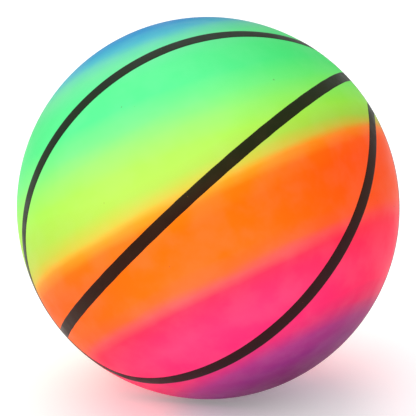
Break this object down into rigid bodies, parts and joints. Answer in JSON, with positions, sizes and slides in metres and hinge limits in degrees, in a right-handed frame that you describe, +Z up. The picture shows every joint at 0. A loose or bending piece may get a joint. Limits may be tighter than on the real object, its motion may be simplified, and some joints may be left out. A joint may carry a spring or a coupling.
{
  "type": "inflatable play ball",
  "caption": "Inflated PVC play ball with a one-piece skin, flat black printed lines and a push-in valve plug that slides out of a welded seat.",
  "frame": {"origin": "centre of the ball", "axes": "+Z up, +Y along the valve's axis and out of the ball, +X to the right when looking along +Y"},
  "size_m": [0.22, 0.2199, 0.22],
  "materials": {
    "rainbow_skin": "satin moulded PVC, sprayed in rainbow bands",
    "seat_vinyl": "soft matt PVC",
    "plug_vinyl": "soft matt PVC",
    "black_ink": "thin satin black ink"
  },
  "bodies": {
    "ball": {"ball_skin": "rainbow_skin", "valve_seat": "seat_vinyl", "centre_line": "black_ink", "cross_line": "black_ink", "near_curve": "black_ink", "far_curve": "black_ink"},
    "plug": {"valve_plug": "plug_vinyl"}
  },
  "joints": [
    {"name": "plug_pull", "type": "slide", "parent": "ball", "child": "plug", "axis": [0, 1, 0], "range_m": [0, 0.018]}
  ]
}
